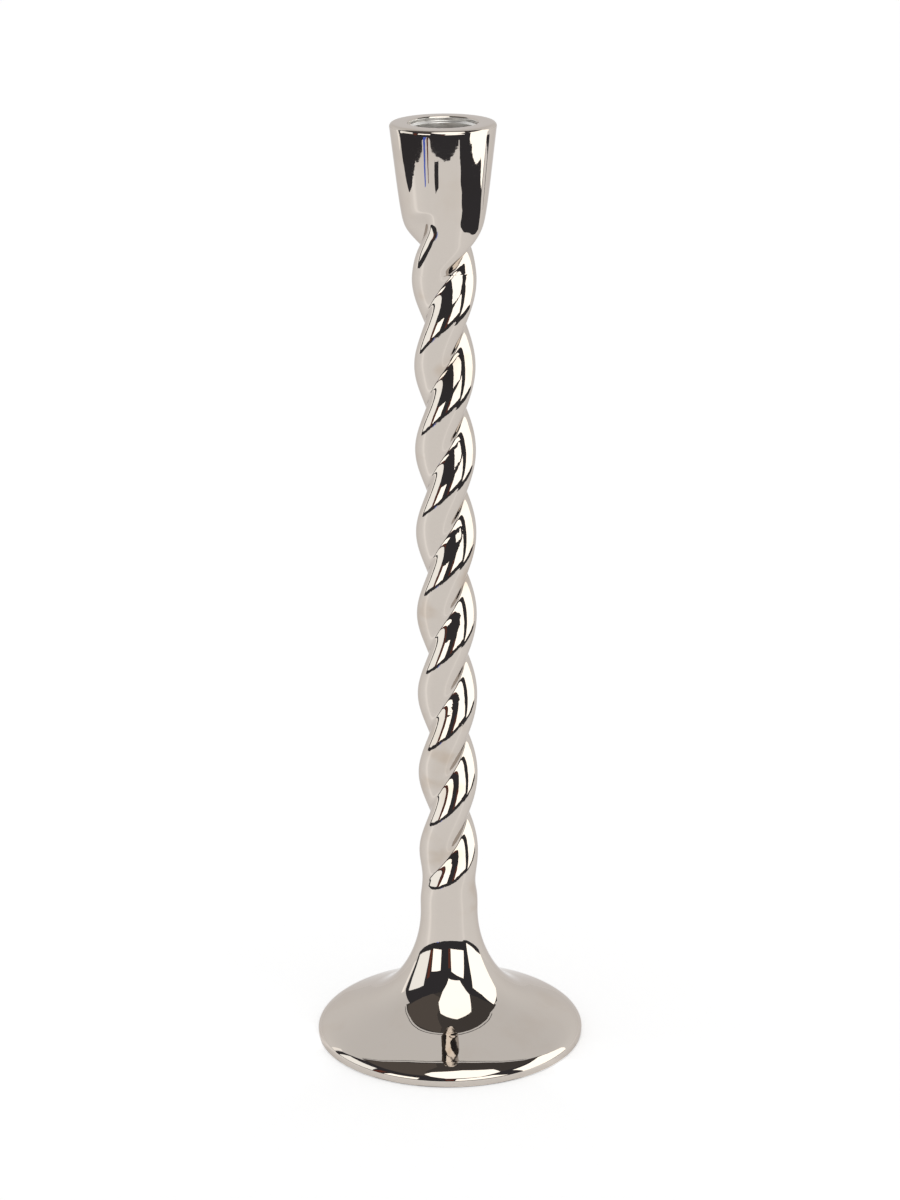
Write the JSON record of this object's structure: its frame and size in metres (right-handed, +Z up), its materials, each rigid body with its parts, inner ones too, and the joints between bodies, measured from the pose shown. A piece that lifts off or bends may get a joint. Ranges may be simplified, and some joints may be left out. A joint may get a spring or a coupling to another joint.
{
  "type": "spiral candle holder",
  "caption": "Tall polished candlestick: a tapered cup for a taper candle on a stem of twisted strands, standing on a round flared foot.",
  "frame": {"origin": "centre of the underside, on the surface that the candlestick stands on", "axes": "+Z up along the stem, towards the candle; -Y is the side that the picture shows"},
  "size_m": [0.0988, 0.0988, 0.34],
  "materials": {
    "polished_nickel": "polished",
    "zinc_steel": "satin",
    "grey_board": "matte",
    "black_felt": "matte"
  },
  "bodies": {
    "root": {"candle_cup": "polished_nickel", "twisted_stem": "polished_nickel", "foot": "polished_nickel", "cup_screw": "zinc_steel", "foot_bolt": "zinc_steel", "flat_washer": "zinc_steel", "lock_washer": "zinc_steel", "backing_disc": "grey_board", "felt_pad": "black_felt"}
  },
  "joints": []
}
